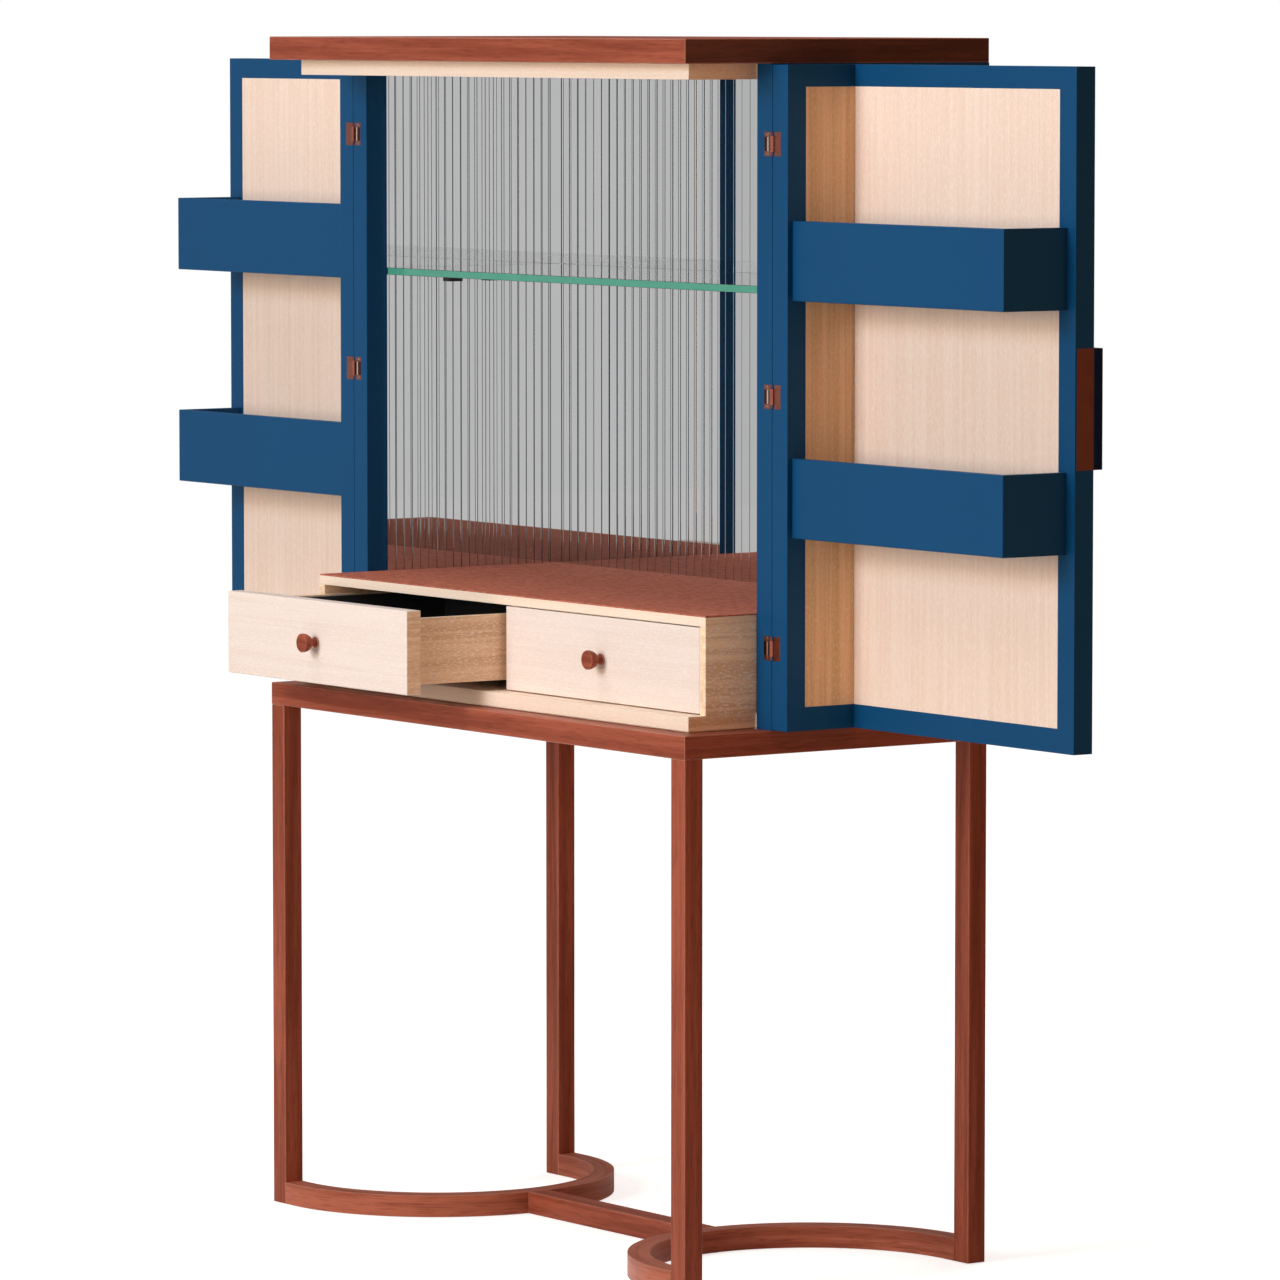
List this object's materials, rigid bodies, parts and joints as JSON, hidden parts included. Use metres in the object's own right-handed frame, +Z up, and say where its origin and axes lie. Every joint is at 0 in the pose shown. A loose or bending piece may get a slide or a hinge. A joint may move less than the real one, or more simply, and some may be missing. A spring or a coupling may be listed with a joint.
{
  "type": "bar cabinet",
  "caption": "Bar cabinet on an open four-leg stand, with two L-shaped doors that carry trays, a mirrored bay with a glass shelf, and two drawers.",
  "frame": {"origin": "on the floor, under the middle of the four-leg stand", "axes": "+Z up, +Y towards the back of the cabinet, +X to the right as seen from the front"},
  "size_m": [1.919, 0.597, 1.5755],
  "materials": {
    "copper_stained_wood": "satin stain, straight grain",
    "blue_lacquer": "satin lacquer on board",
    "pale_oak": "matt open-grained oak",
    "leather": "fine grain, matt",
    "grey_mirror": "fluted grey tinted mirror",
    "clear_glass": "clear with green edges",
    "copper": "satin copper plate",
    "dark_bronze": "satin dark blue-black",
    "black_steel": "satin black",
    "steel": "bright zinc plate",
    "nylon": "matt"
  },
  "bodies": {
    "cabinet": {"back_panel": "blue_lacquer", "bottom_board": "pale_oak", "cabinet_screws": "steel", "catch_magnets": "steel", "drawer_bearers": "pale_oak", "drawer_case_divider": "pale_oak", "drawer_case_side_left": "pale_oak", "drawer_case_side_right": "pale_oak", "drawer_case_top": "pale_oak", "foot_glides": "nylon", "glass_shelf": "clear_glass", "hinge_leaves_left": "copper", "hinge_leaves_right": "copper", "leather_deck": "leather", "leg_back_left": "copper_stained_wood", "leg_back_right": "copper_stained_wood", "leg_front_left": "copper_stained_wood", "leg_front_right": "copper_stained_wood", "mirror_back": "grey_mirror", "mirror_left": "grey_mirror", "mirror_right": "grey_mirror", "rail_back": "copper_stained_wood", "rail_front": "copper_stained_wood", "rail_left": "copper_stained_wood", "rail_right": "copper_stained_wood", "shelf_pins": "black_steel", "side_wall_left": "blue_lacquer", "side_wall_right": "blue_lacquer", "stretcher_arc_left": "copper_stained_wood", "stretcher_arc_right": "copper_stained_wood", "stretcher_crossbar": "copper_stained_wood", "top_board": "pale_oak", "top_slab": "copper_stained_wood"},
    "door_left": {"door_left_edge_plate": "copper", "door_left_front": "blue_lacquer", "door_left_handle": "dark_bronze", "door_left_hinge_leaves": "copper", "door_left_lining": "pale_oak", "door_left_screws": "copper", "door_left_side": "blue_lacquer", "door_left_tray_lower": "blue_lacquer", "door_left_tray_upper": "blue_lacquer"},
    "door_right": {"door_right_edge_plate": "copper", "door_right_front": "blue_lacquer", "door_right_handle": "dark_bronze", "door_right_hinge_leaves": "copper", "door_right_lining": "pale_oak", "door_right_screws": "copper", "door_right_side": "blue_lacquer", "door_right_tray_lower": "blue_lacquer", "door_right_tray_upper": "blue_lacquer"},
    "drawer_left": {"drawer_left_bottom": "pale_oak", "drawer_left_box": "pale_oak", "drawer_left_front": "pale_oak", "drawer_left_knob": "copper_stained_wood"},
    "drawer_right": {"drawer_right_bottom": "pale_oak", "drawer_right_box": "pale_oak", "drawer_right_front": "pale_oak", "drawer_right_knob": "copper_stained_wood"}
  },
  "joints": [
    {"name": "door_right_hinge", "type": "hinge", "parent": "cabinet", "child": "door_right", "pos_m": [0.4805, -0.1045, 1.1275], "axis": [0, 0, 1], "range_deg": [-116, 0]},
    {"name": "door_left_hinge", "type": "hinge", "parent": "cabinet", "child": "door_left", "pos_m": [-0.4805, -0.1045, 1.1275], "axis": [0, 0, 1], "range_deg": [0, 116]},
    {"name": "drawer_right_slide", "type": "slide", "parent": "cabinet", "child": "drawer_right", "axis": [0, -1, 0], "range_m": [0, 0.24]},
    {"name": "drawer_left_slide", "type": "slide", "parent": "cabinet", "child": "drawer_left", "axis": [0, -1, 0], "range_m": [-0.154, 0.086]}
  ]
}
